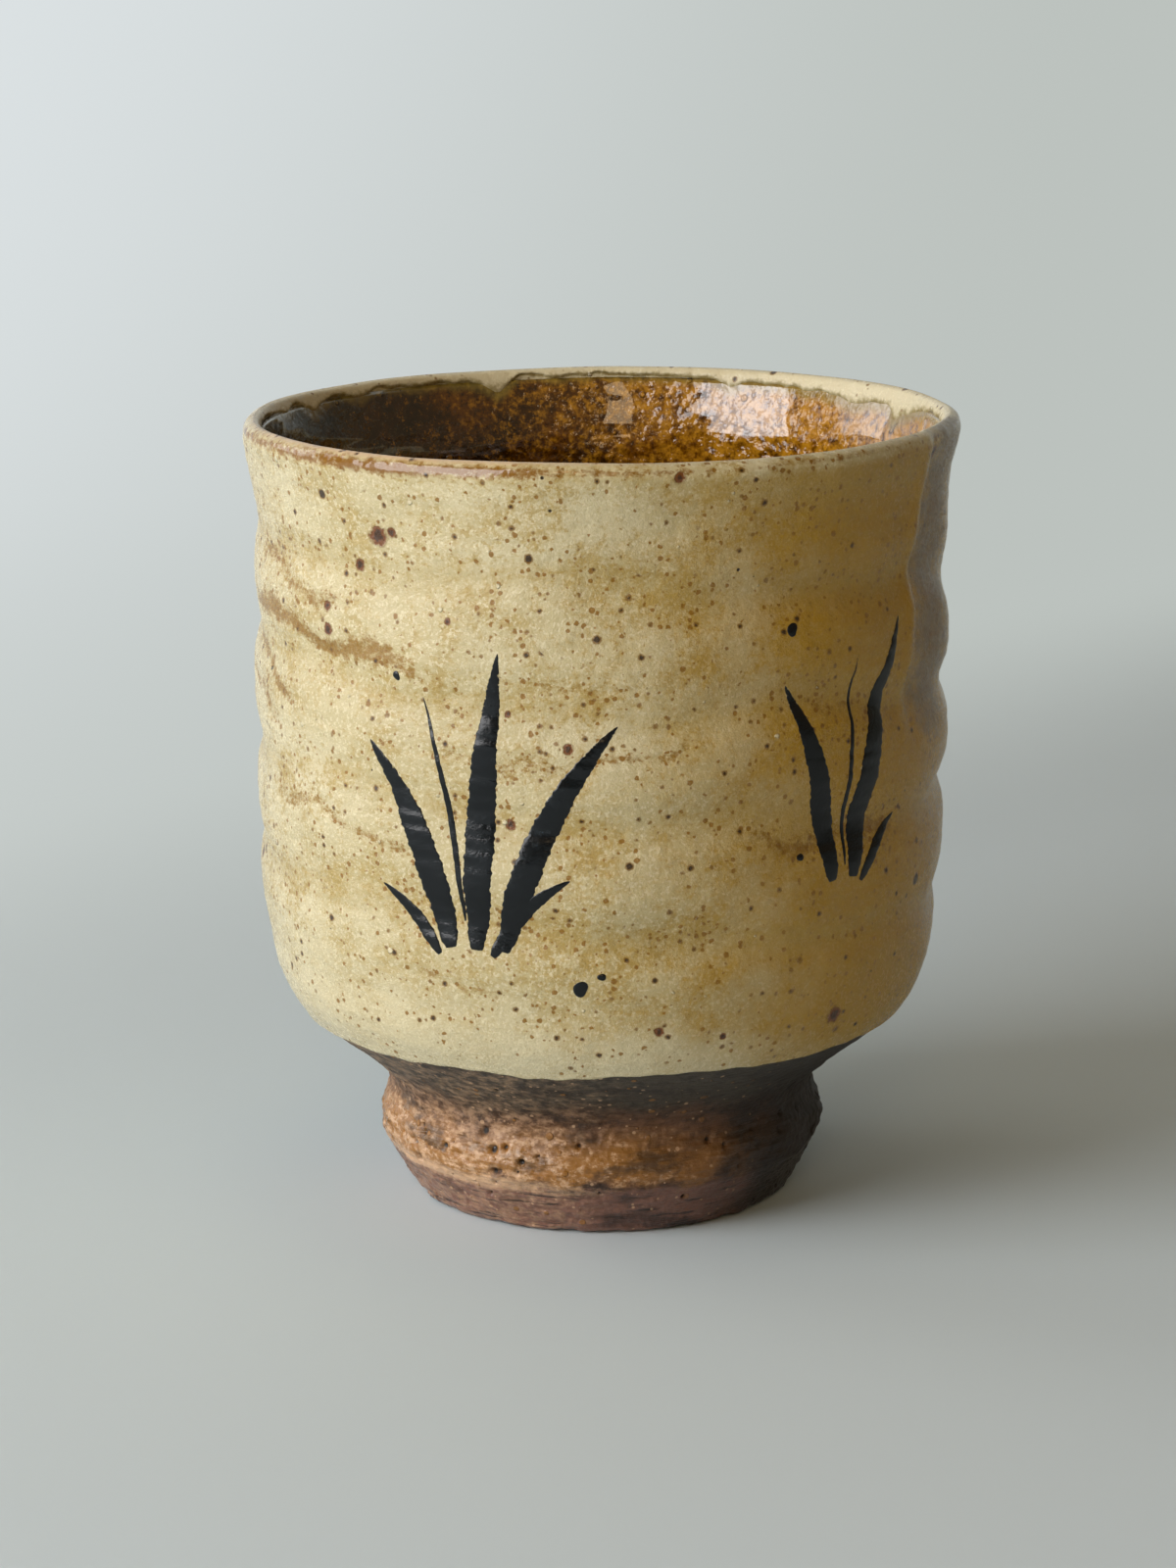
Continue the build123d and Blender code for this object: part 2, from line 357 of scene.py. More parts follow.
def push(azimuth, height, shape):
    """How far the thrown wall stands out from its even outline, in metres."""
    turn = TURN * spiral_phase(azimuth, height, shape)
    fade = smooth_step(WALL_FOOT, WALL_FULL, height) * (1 - smooth_step(WAIST_FULL, WAIST_TOP, height))
    strength = shape.ring_depth * fade * (1 + 0.45 * ripple(azimuth, height, 50 * MM, 5))
    smoothed = 1 - 0.5 * bump(PALM_AT, PALM_WIDTH, from_place(azimuth, 0))
    rings = strength * smoothed * (np.cos(turn) - 0.22 * np.cos(2 * turn))
    offset = gutter_offset(azimuth, height)
    steep = smooth_step(GUTTER_EDGE, GUTTER_BOTTOM, offset)
    shallow = 1 - smooth_step(GUTTER_BOTTOM, GUTTER_END, offset)
    mark = LEDGE_HEIGHT * bump(LEDGE_AT, LEDGE_WIDTH, offset) - shape.gutter_depth * steep * shallow
    above_foot = smooth_step(HAND_LOW, HAND_FULL, height)
    hand = ripples(azimuth, height, (0.15, 30, 7), (0.06, 8, 8, 2.0))
    combed = ripples(azimuth, height, (0.025, 1.5, 10, 10.0)) - DRAG_DEPTH * dragged(azimuth, height)
    return rings + gutter_reach(height) * mark + above_foot * (hand + combed)


def settle(points, shape):
    """Tilts the lip a little, as the cup sat down on one side in the kiln, and leaves it slightly wavy."""
    across, deep, high = points[..., 0], points[..., 1], points[..., 2]
    wave = ripples(np.arctan2(deep, across), 0, (0.09, 34, 9))
    points[..., 2] += shape.lip_tilt * across * smooth_step(TILT_LOW, TILT_HIGH, high)
    points[..., 2] += wave * smooth_step(WAVE_LOW, WAVE_HIGH, high)
    return points


def columns_round(shape, step=1):
    """Azimuths of the columns of a mesh, anticlockwise from +X."""
    return np.linspace(0, TURN, shape.columns // step, endpoint=False)


def turned_points(radius, azimuth, height):
    """Points in space from radius, azimuth and height, all in one grid."""
    return np.stack([radius * np.cos(azimuth), radius * np.sin(azimuth), height + 0 * radius], axis=-1)


# ---- meshes


def quads(*corners):
    """Four-sided faces, from one grid for each of their corners."""
    return np.stack(corners, axis=-1).reshape(-1, 4).tolist()


def placed(name, data):
    """A new object in the scene."""
    made = bpy.data.objects.new(name, data)
    bpy.context.scene.collection.objects.link(made)
    return made


def skin(grid, closed, **attributes):
    """Points, faces and point attributes of a closed skin over a grid of rows round an axis.

    The rows close into a loop, or the first and last end in a point each at their middle."""
    rows, columns = grid.shape[:2]
    corner = np.arange(rows * columns).reshape(rows, columns)
    lower, upper = (corner, np.roll(corner, -1, axis=0)) if closed else (corner[:-1], corner[1:])
    faces = quads(lower, np.roll(lower, -1, axis=1), np.roll(upper, -1, axis=1), upper)
    points = grid.reshape(-1, 3)
    if not closed:
        points = np.vstack([points, grid[0].mean(axis=0), grid[-1].mean(axis=0)])
        start, end = rows * columns, rows * columns + 1
        faces += [(start, b, a) for a, b in zip(corner[0].tolist(), np.roll(corner[0], -1).tolist())]
        faces += [(end, a, b) for a, b in zip(corner[-1].tolist(), np.roll(corner[-1], -1).tolist())]
    values = {}
    for name, drawn in attributes.items():
        values[name] = np.zeros(len(points), np.float32)
        values[name][: rows * columns] = np.broadcast_to(drawn, (rows, columns)).reshape(-1)
    return points, faces, values


def new_piece(name, skins):
    """One object from skins that don't touch each other."""
    points, faces, start = [], [], 0
    for skin_points, skin_faces, _ in skins:
        points.append(skin_points)
        faces += [[start + corner for corner in face] for face in skin_faces]
        start += len(skin_points)
    mesh = bpy.data.meshes.new(name)
    mesh.from_pydata(np.vstack(points).tolist(), [], faces)
    mesh.shade_smooth()
    for label in skins[0][2]:
        values = np.concatenate([skin_values[label] for _, _, skin_values in skins])
        mesh.attributes.new(label, "FLOAT", "POINT").data.foreach_set("value", values)
    return placed(name, mesh)


def fit(piece, node, material):
    """Puts a piece in the place of its CAD node, with its finish."""
    piece.data.materials.append(material)
    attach(piece, BODY)
    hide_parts(node)
    return piece


def scattered_spots(seed, count, low, high, size_low, size_high, share=1.0):
    """Seeded azimuth, height and size of spots between two heights, over a share of a turn."""
    draw = np.random.default_rng(seed)
    limits = ((0, TURN * share), (low, high), (size_low, size_high))
    return np.column_stack([draw.uniform(least, most, count) for least, most in limits])


def spot_field(azimuth, height, radius, spots):
    """Depth inside the nearest spot, as a share of its size: 1 in its middle and 0 at its edge."""
    depth = np.full(np.broadcast(azimuth, height).shape, -4.0)
    for spot_azimuth, spot_height, size in spots:
        across = from_place(azimuth, spot_azimuth) * radius
        depth = np.maximum(depth, 1 - np.hypot(across, height - spot_height) / size)
    return depth


def foot_push(azimuth, height):
    """Relief of the bare foot: trimming marks, the chatter of the tool, and pits torn by grit."""
    low = 1 - smooth_step(15 * MM, 20 * MM, height)
    marks = ripples(azimuth, height, (0.07, 1.1, 21, 9.0, 64), (0.12, 7, 22, 2.0))
    pits = spot_field(azimuth, height, FOOT_RADIUS, foot_pits())
    chatter = ripples(azimuth, height, (0.05, 1.6, 24))
    return low * marks + chatter - PIT_DEPTH * smooth_step(0.0, 0.7, pits)


def foot_pits():
    """Pits of the foot: a band of them round its fullest part and a few elsewhere."""
    band = scattered_spots(31, 46, 6.5 * MM, 12 * MM, 0.3 * MM, 0.85 * MM)
    rest = scattered_spots(32, 40, 1.5 * MM, 20 * MM, 0.25 * MM, 0.55 * MM)
    return np.vstack([band, rest])


# ---- materials


def add_node(tree, kind, inputs=None, output=0, **settings):
    """Adds a node, gives it its settings, fills its sockets with values or links, and returns one output."""
    made = tree.nodes.new(kind)
    for name, value in settings.items():
        setattr(made, name, value)
    for key, value in (inputs or {}).items():
        if isinstance(value, bpy.types.NodeSocket):
            tree.links.new(value, made.inputs[key])
        else:
            made.inputs[key].default_value = value
    return made.outputs[output]


def new_material(name, *drawn):
    """A material, its shader, the object's coordinates, and the point attributes that the mesh carries."""
    material = bpy.data.materials.new(name)
    material.use_nodes = True
    tree = material.node_tree
    coords = add_node(tree, "ShaderNodeTexCoord", output="Object")
    shares = (add_node(tree, "ShaderNodeAttribute", output="Fac", attribute_name=label) for label in drawn)
    return material, tree.nodes["Principled BSDF"], coords, *shares


# Sockets of the Mix node for the two colours and the mixed one
COLOUR_UNDER, COLOUR_OVER, COLOUR_MIXED = 6, 7, 2
# Noise mostly stays between these
NOISE_LOW, NOISE_HIGH = 0.3, 0.7


def mask(value, low, high, *within):
    """Share that rises smoothly from 0 at low to 1 at high, kept inside other masks."""
    tree = value.id_data
    inputs = {"Value": value, "From Min": low, "From Max": high}
    share = add_node(tree, "ShaderNodeMapRange", inputs, interpolation_type="SMOOTHSTEP")
    for other in within:
        share = add_node(tree, "ShaderNodeMath", {0: share, 1: other}, operation="MULTIPLY")
    return share


def weighed(first, *others):
    """A value with others added, each times its weight."""
    for value, weight in others:
        inputs = {0: value, 1: weight, 2: first}
        first = add_node(value.id_data, "ShaderNodeMath", inputs, operation="MULTIPLY_ADD")
    return first


def grain(coords, size, detail=3.0, roughness=0.55, stretch=1.0):
    """Noise round a half with lumps of a real size, in millimetres, drawn out sideways by stretch."""
    scale = tuple(1 / pull / (size * MM) for pull in (stretch, stretch, 1))
    squeezed = add_node(coords.id_data, "ShaderNodeMapping", {"Vector": coords, "Scale": scale})
    inputs = {"Vector": squeezed, "Scale": 1.0, "Detail": detail, "Roughness": roughness}
    return add_node(coords.id_data, "ShaderNodeTexNoise", inputs, "Fac")


def shaken(coords, size, reach):
    """Coordinates shaken a little, in millimetres, so that round things drawn with them come out uneven."""
    tree = coords.id_data
    inputs = {"Vector": coords, "Scale": 1 / (size * MM), "Detail": 2.0}
    noise = add_node(tree, "ShaderNodeTexNoise", inputs, "Color")
    inputs = {0: noise, 1: (reach * MM,) * 3, 2: coords}
    return add_node(tree, "ShaderNodeVectorMath", inputs, operation="MULTIPLY_ADD")


def specks(coords, spacing, smallest, largest, kept):
    """Depth inside scattered specks, in metres, and below 0 outside them.

    Their spacing and their least and greatest radius are in millimetres, and most are small. Kept is the
    share of places that have a speck."""
    tree = coords.id_data
    places = {"Vector": coords, "Scale": 1 / (spacing * MM)}
    distance = add_node(tree, "ShaderNodeTexVoronoi", places, "Distance")
    chance = add_node(tree, "ShaderNodeSeparateColor", {"Color": distance.node.outputs["Color"]}, "Red")
    mostly_small = add_node(tree, "ShaderNodeMath", {0: chance, 1: 1.8}, operation="POWER")
    sizes = {"Value": mostly_small, "To Min": smallest * MM, "To Max": largest * MM}
    radius = add_node(tree, "ShaderNodeMapRange", sizes)
    inputs = {0: chance.node.outputs["Green"], 1: kept}
    left_out = add_node(tree, "ShaderNodeMath", inputs, operation="GREATER_THAN")
    return weighed(radius, (distance, -spacing * MM), (left_out, -spacing * MM))


def painted(base, layers):
    """Base colour with layers laid over it, each a mask and its colour."""
    for share, code in layers:
        inputs = {0: share, COLOUR_UNDER: base, COLOUR_OVER: code}
        base = add_node(share.id_data, "ShaderNodeMix", inputs, COLOUR_MIXED, data_type="RGBA")
    return base


def finish(shader, base, roughness, heights, **constants):
    """Links colour, roughness and a relief of layers in millimetres, and sets the shader's own sockets."""
    tree = shader.id_data
    total = weighed(0.0, *((layer, depth * MM) for layer, depth in heights))
    inputs = {"Strength": 1.0, "Distance": 1.0, "Height": total}
    normal = add_node(tree, "ShaderNodeBump", inputs, "Normal")
    value, low, high = roughness
    inputs = {"Value": value, "From Min": NOISE_LOW, "From Max": NOISE_HIGH, "To Min": low, "To Max": high}
    varied = add_node(tree, "ShaderNodeMapRange", inputs)
    for socket, link in (("Base Color", base), ("Roughness", varied), ("Normal", normal)):
        tree.links.new(link, shader.inputs[socket])
    for socket, constant in constants.items():
        shader.inputs[socket.replace("_", " ")].default_value = constant


# Iron specks in the ash glaze, fine and many, then coarse and few: their spacing and their least and greatest
# radius in millimetres, and the share of places that have one
IRON_SPECKS = ((1.5, 0.08, 0.34, 0.6), (3.6, 0.16, 0.5, 0.55), (9.0, 0.30, 0.8, 0.4))


def ash_glaze(colours):
    """Ash glaze, dipped and fired: satin milky cream with a sugary skin, ochre pools and iron specks."""
    material, shader, coords, pooled, drag, toast, smoke, spot, crest, rust, lap = new_material(
        "ash_glaze", "groove", "drag", "toast", "smoke", "spot", "crest", "rust", "lap"
    )
    height = add_node(material.node_tree, "ShaderNodeSeparateXYZ", {"Vector": coords}, "Z")
    uneven = shaken(coords, 0.5, 0.35)
    # The sugar and the tooth of the skin are finer on the real glaze, and are drawn coarse enough to show
    sugar = grain(coords, 0.42, 2.0, 0.6)
    tooth = grain(coords, 0.3, 3.0, 0.75)
    grains = grain(coords, 0.8, 4.0, 0.75, 1.3)
    ragged = grain(coords, 0.8, 3.0)
    streaks = grain(coords, 0.9, 4.0, 0.65, 5.0)
    soot = grain(coords, 2.2, 4.0, 0.7)
    peel = grain(coords, 2.4, 2.0, 0.5)
    patches = grain(coords, 6, 3.0)
    clouds = grain(coords, 14, 2.0, 0.5, 1.6)
    # Where it ran down to the hip it lies thick and pale; on the side away from the lamps the pale band stays
    # lower, as painted shade
    hip = weighed(height, (patches, 8 * MM), (toast, 14 * MM))
    # Fine freckles crowd in patches and along the lines
    crowd = mask(weighed(patches, (drag, 0.5), (pooled, 0.15)), 0.4, 0.85)
    freckles = specks(uneven, 0.8, 0.08, 0.34, weighed(0.12, (crowd, 1.0)))
    worn_lap = weighed(lap, (ragged, 0.8))
    spotted = weighed(spot, (ragged, 1.3))
    blot = mask(spotted, 0.62, 0.8)
    pinhole = mask(specks(coords, 5.2, 0.08, 0.24, 0.4), -0.05 * MM, 0.05 * MM)
    grit = mask(specks(uneven, 3.2, 0.06, 0.34, 0.5), -0.12 * MM, 0.06 * MM)
    layers = [
        (mask(weighed(clouds, (grains, 0.9)), 0.85, 1.12, 0.65), colours.milk),
        (mask(weighed(grains, (patches, 0.7)), 0.78, 1.02, 0.75), colours.tan),
        (mask(sugar, 0.52, 0.64, 0.7), colours.milk),
        # The side away from the lamps is darker ochre, in soft patches: partly a toasted glaze, partly
        # painted shade
        (mask(weighed(toast, (patches, 0.5), (grains, 0.4)), 0.62, 1.35, 0.92), colours.toast),
        # Ochre pools in the grooves and along the lines that the fingers dragged
        (mask(weighed(pooled, (patches, 0.8), (grains, 1.6)), 1.8, 2.5, 0.6), colours.tan),
        (mask(weighed(drag, (patches, 0.4), (grains, 1.4)), 1.15, 2.0, 0.5), colours.tan),
        (mask(weighed(drag, (streaks, 0.6), (grains, 2.6)), 2.05, 2.55, 0.8), colours.ochre),
        (mask(hip, 42 * MM, 32 * MM, 0.6), colours.milk),
        (mask(freckles, -0.04 * MM, 0.06 * MM, 0.9), colours.freckle),
        # Greyer and darker beside the finger mark
        (mask(weighed(smoke, (soot, 1.6)), 1.1, 1.8, 0.85), colours.smoke),
        (mask(weighed(smoke, (streaks, 1.0), (grains, 1.5)), 2.1, 2.6, 0.7), colours.speck),
        # The crest is thin and pinkish, breaks to rust just outside, and runs to olive over the amber
        (mask(weighed(crest, (ragged, 0.5)), 0.5, 1.1, 0.85), colours.crest),
        (mask(weighed(rust, (grains, 1.8), (streaks, 0.6)), 1.5, 2.15, 0.9), colours.rust),
        # Partly thick glaze, partly painted highlight: milk over the inner side of the crest, all round
        (mask(lap, 0.0, 0.2, 0.8), colours.milk),
        (mask(worn_lap, 0.95, 1.35, 0.8), colours.olive),
        (mask(worn_lap, 1.3, 1.6, 0.5), colours.amber),
    ]
    for spacing, smallest, largest, kept in IRON_SPECKS:
        # Each speck has a rusty edge
        depth = specks(uneven, spacing, smallest, largest, kept)
        layers.append((mask(depth, -0.14 * MM, 0.03 * MM, 0.85), colours.speck))
        layers.append((mask(depth, 0.05 * MM, 0.15 * MM, 0.9), colours.iron))
    layers += [
        (mask(spotted, 0.3, 0.7, 0.6), colours.speck),
        (blot, colours.blot),
        (mask(weighed(spotted, (sugar, 0.8)), 1.35, 1.6, 0.8), colours.iron),
        (grit, colours.milk),
        (pinhole, colours.iron),
    ]
    # Near the crest the glaze ran smooth and glassy
    smooth = weighed(rust, (crest, 0.8))
    sugared = mask(tooth, 0.2, 0.8, mask(smooth, 0.9, 0.1))
    heights = [(peel, 0.3), (sugared, 0.05), (pinhole, -0.14), (grit, 0.16), (blot, -0.06)]
    gloss = weighed(sugar, (smooth, -0.4))
    finish(shader, painted(colours.cream, layers), (gloss, 0.13, 0.34), heights, IOR=1.5)
    return material


def amber_glaze(colours):
    """Amber iron glaze, poured and fired: glossy glass, gold where thin and near black where it pools.

    Gold is also painted light where the lamps light the inner wall, and near black is painted shade on the
    shaded side.
    """
    material, shader, coords, thin, veil = new_material("amber_glaze", "thin", "veil")
    clouds = grain(coords, 7, 4.0, 0.6)
    mottle = grain(coords, 1.1, 3.0, 0.7)
    lumps = grain(coords, 1.0, 2.0, 0.5)
    grit = mask(specks(coords, 3.0, 0.12, 0.42, 0.6), -0.2 * MM, 0.05 * MM)
    layers = [
        # Painted light and shade: amber and honey high up towards the lamps, dark amber low and away from
        # them
        (mask(weighed(thin, (clouds, 1.6)), 1.0, 2.0), colours.amber),
        (mask(weighed(mottle, (thin, 0.4)), 0.72, 1.0, 0.8), colours.honey),
        (mask(weighed(mottle, (thin, 0.2)), 0.62, 0.42, 0.75), colours.amber_dark),
        (mask(weighed(0.0, (grit, 0.5), (thin, 0.5)), 0.5, 1.0, 0.7), colours.honey),
        # The ash glaze clouds the amber just below the lap
        (mask(weighed(veil, (mottle, 0.7)), 0.65, 1.4, 0.85), colours.olive),
    ]
    heights = [(grain(coords, 2.4, 2.0), 0.5), (lumps, 0.24), (grit, 0.26)]
    base = painted(colours.amber_dark, layers)
    # The coat is the clear upper skin of the glass, over the mottled colour
    finish(shader, base, (lumps, 0.07, 0.16), heights, IOR=1.5, Coat_Weight=1.0, Coat_Roughness=0.03)
    return material


def bare_stoneware(colours):
    """Stoneware, trimmed and fired bare: dry gritty brown, flashed orange and satin by the kiln's ash."""
    material, shader, coords, flash, pit = new_material("bare_stoneware", "flash", "pit")
    height = add_node(material.node_tree, "ShaderNodeSeparateXYZ", {"Vector": coords}, "Z")
    drifts = grain(coords, 6, 4.0)
    wander = weighed(height, (drifts, 7 * MM))
    ridge = weighed(height, (drifts, 2 * MM))
    grains = grain(coords, 0.9, 4.0, 0.7, 1.5)
    drag = grain(coords, 0.55, 3.0, 0.6, 12.0)
    tooth = grain(coords, 0.4, 3.0, 0.65)
    scorch = mask(grain(coords, 3.0, 4.0, 0.65, 2.5), 0.5, 0.66, 0.65)
    cinder = mask(specks(coords, 1.9, 0.08, 0.42, 0.55), -0.1 * MM, 0.05 * MM)
    sand = mask(specks(coords, 0.95, 0.05, 0.24, 0.5), -0.1 * MM, 0.05 * MM)
    on_ring = mask(ridge, 7.6 * MM, 6.8 * MM)
    # Orange flashing, stronger towards the lamps: partly flashing by the kiln's ash, partly painted light
    flashed = mask(weighed(wander, (grains, 2 * MM)), 10.5 * MM, 12 * MM)
    flashed = mask(wander, 17.5 * MM, 13 * MM, flashed, flash)
    # Painted highlights: sand colour on the side of the foot that faces the lamps, and along its ridge there
    lit = mask(weighed(flash, (grains, 0.5)), 1.1, 1.4)
    worn = mask(ridge, 6.0 * MM, 6.9 * MM, mask(ridge, 8.3 * MM, 7.3 * MM), lit, 0.9)
    layers = [
        (mask(wander, 16.5 * MM, 21 * MM), colours.clay_grey),
        (mask(grains, 0.56, 0.36, 0.55), colours.clay_char),
        (on_ring, colours.clay_plum),
        (flashed, colours.clay_flash),
        (mask(weighed(grains, (flash, 0.15)), 0.64, 0.8, flashed, 0.8), colours.clay_sand),
        # Painted highlight on the side that faces the lamps
        (mask(grains, 0.35, 0.7, lit, 0.45), colours.clay_sand),
        (scorch, colours.clay_char),
        (mask(drag, 0.42, 0.36, on_ring, 0.8), colours.clay_char),
        (mask(weighed(sand, (flash, 0.3)), 0.5, 1.2, 0.6), colours.clay_sand),
        (mask(cinder, 0.3, 1.0, flash, 0.8), colours.clay_flash),
        # Painted shade: the side of the foot away from the lamps darkened to char
        (mask(weighed(flash, (drifts, 0.5)), 0.95, 0.5, 0.94), colours.clay_char),
        # Painted highlight along the ridge
        (worn, colours.clay_sand),
        (mask(weighed(pit, (grains, 0.6)), 0.6, 1.0), colours.clay_char),
    ]
    heights = [(drag, 0.24), (tooth, 0.10), (cinder, 0.13), (scorch, -0.07)]
    shine = weighed(0.72, (flashed, -0.42), (on_ring, -0.3), (worn, -0.4))
    finish(shader, painted(colours.clay_brown, layers), (shine, 0.26, 0.62), heights, IOR=1.5)
    return material


def iron_brushwork(colours):
    """Iron pigment brushed into the glaze: blue-black and satin, with a grey crust where it lay thick."""
    material, shader, coords, edge = new_material("iron_brushwork", "edge")
    crust = grain(coords, 1.4, 4.0, 0.7)
    tooth = grain(coords, 0.5, 3.0, 0.6)
    layers = [
        (mask(crust, 0.55, 0.72, 0.6), colours.brush_dry),
        # The glaze shows through where the brush ran dry, along the edges and at the tip
        (mask(weighed(tooth, (edge, 0.6)), 0.96, 1.1), colours.cream),
    ]
    heights = [(tooth, 0.04), (crust, 0.06)]
    base = painted(colours.brush, layers)
    finish(shader, base, (crust, 0.1, 0.24), heights, IOR=1.42)
    return material


# ---- pieces


class CUP_OT_stoneware(bpy.types.Operator):
    """Builds the fired clay: foot ring, wall and floor in one piece"""

    bl_idname = "cup.stoneware"
    bl_label = "Fired clay"
    bl_options = {"REGISTER", "UNDO"}

    def execute(self, context):
        shape, colours = context.scene.cup_shape, context.scene.cup_colours
        recess = np.array(RECESS_OUTLINE) * MM
        foot = smooth_curve(FOOT_OUTLINE, FOOT_FINE)
        hidden = smooth_curve(CLAY_OUTLINE, HIDDEN)[1:-1]
        outline = np.vstack([recess, foot, hidden])
        is_foot = np.zeros((len(outline), 1))
        is_foot[len(recess) :][: len(foot)] = 1
        azimuth = columns_round(shape)[None, :]
        radius, height = outline[:, :1], outline[:, 1:]
        above = smooth_step(FOOT_TOP, WALL_BOTTOM, height)
        on_foot = is_foot * (1 - above)
        grown = radius + push(azimuth, height, shape) * above + foot_push(azimuth, height) * on_foot
        grown = np.where(radius > 2 * MM, grown, radius)
        # The edge of the ring is worn unevenly
        worn = WORN_DEPTH * np.clip(ripple(azimuth, 0, 9 * MM, 41), 0, 1)
        worn = worn * (1 - smooth_step(0, WORN_TOP, height))
        grid = settle(turned_points(grown, azimuth, height + worn), shape)
        # Painted light and shade, partly ash flashing: the foot's colours lighter and more orange towards the
        # lamps, darker away
        flash = np.clip(0.4 + 0.75 * np.cos(azimuth - FLASHED_AT), 0, 1.3)
        pit = spot_field(azimuth, height, FOOT_RADIUS, foot_pits()) * on_foot
        piece = new_piece("stoneware_body", [skin(grid, False, flash=flash, pit=pit)])
        fit(piece, "clay_body", bare_stoneware(colours))
        return {"FINISHED"}


# Larger iron spots: azimuth in degrees from the front towards the right, height and size in millimetres
GLAZE_SPOTS = [
    (-37.3, 81.4, 1.1), (-34.6, 81.9, 0.6), (-41.9, 77.9, 0.7), (-48.8, 70.3, 0.7), (-49.1, 72.8, 0.55),
    (-24.4, 73.0, 0.4), (-14.7, 63.3, 0.4), (-5.0, 59.8, 0.55), (-14.3, 51.3, 0.6), (9.5, 28.3, 0.6),
    (42.8, 27.4, 1.0), (20.7, 27.1, 0.4), (11.8, 88.7, 0.6), (66.9, 87.6, 0.8),
]
# Drips of the lap inside the mouth: azimuth in degrees anticlockwise from the right, then width and length in
# millimetres
LAP_DRIPS = [
    (152, 4.6, 1.4), (162, 3.4, 0.7), (139, 3.2, 0.7), (109, 3.2, 2.0), (66, 3.0, 1.0), (38, 7.0, 1.5),
    (24, 3.0, 1.3), (205, 4.0, 1.6), (246, 3.0, 1.8), (301, 3.4, 1.4), (338, 4.5, 1.9),
]
# Azimuth from which the scattered spots go round the right side and the back
SPOTS_FROM = FRONT + math.radians(80)
# Radius and height of the top of the coat's hidden face, in millimetres, and a distance that keeps that face
# clear of what is painted round the crest
COAT_TOP, FAR_INSIDE = (38.6, 88.9), 9 * MM
# The coat's lower edge lies higher at the right, and moves out as it rises by the slope of the clay under it
EDGE_LOW, EDGE_HIGH, EDGE_TILT, CLAY_SLOPE = 22.3 * MM, 25.5 * MM, 0.30 * MM, 0.95
# Usual and least reach of the lap, how much deeper it comes at the right of the back, and how far its edge
# tucks into the lining
LAP_REACH, LAP_LEAST, LAP_DEEPER, LAP_TUCK = 1.75 * MM, 1.1 * MM, 1.0 * MM, 0.3 * MM
LAP_DEEP_AT, LAP_DEEP_WIDTH = math.radians(22), math.radians(36)
LAP_ROWS = 16


def lap_reach(azimuth):
    """How far the outer glaze laps down inside the mouth, from the crest along the surface."""
    reach = LAP_REACH + ripples(azimuth, 0, (0.35, 14, 53), (0.16, 3.5, 54))
    reach = reach + LAP_DEEPER * bump(LAP_DEEP_AT, LAP_DEEP_WIDTH, from_place(azimuth, 0))
    for turn, width, drop in LAP_DRIPS:
        across = from_place(azimuth, math.radians(turn)) * COAT_HIGH.x
        reach = reach + drop * MM * bump(0, width / 2 * MM, across)
    return np.maximum(reach, LAP_LEAST)


def lap_skin(azimuth):
    """Radius, height and distance from the crest of the glaze that laps ragged down inside the mouth."""
    mouth = smooth_curve(MOUTH_OUTLINE, FINE / 2)
    share = np.linspace(0, 1, LAP_ROWS + 1)[1:, None]
    run = lap_reach(azimuth) * share
    tuck = LAP_TUCK * smooth_step(0.6, 1.0, share) ** 2
    radius = np.interp(run, run_along(mouth), mouth[:, 0]) + tuck
    return radius, np.interp(run, run_along(mouth), mouth[:, 1]), run


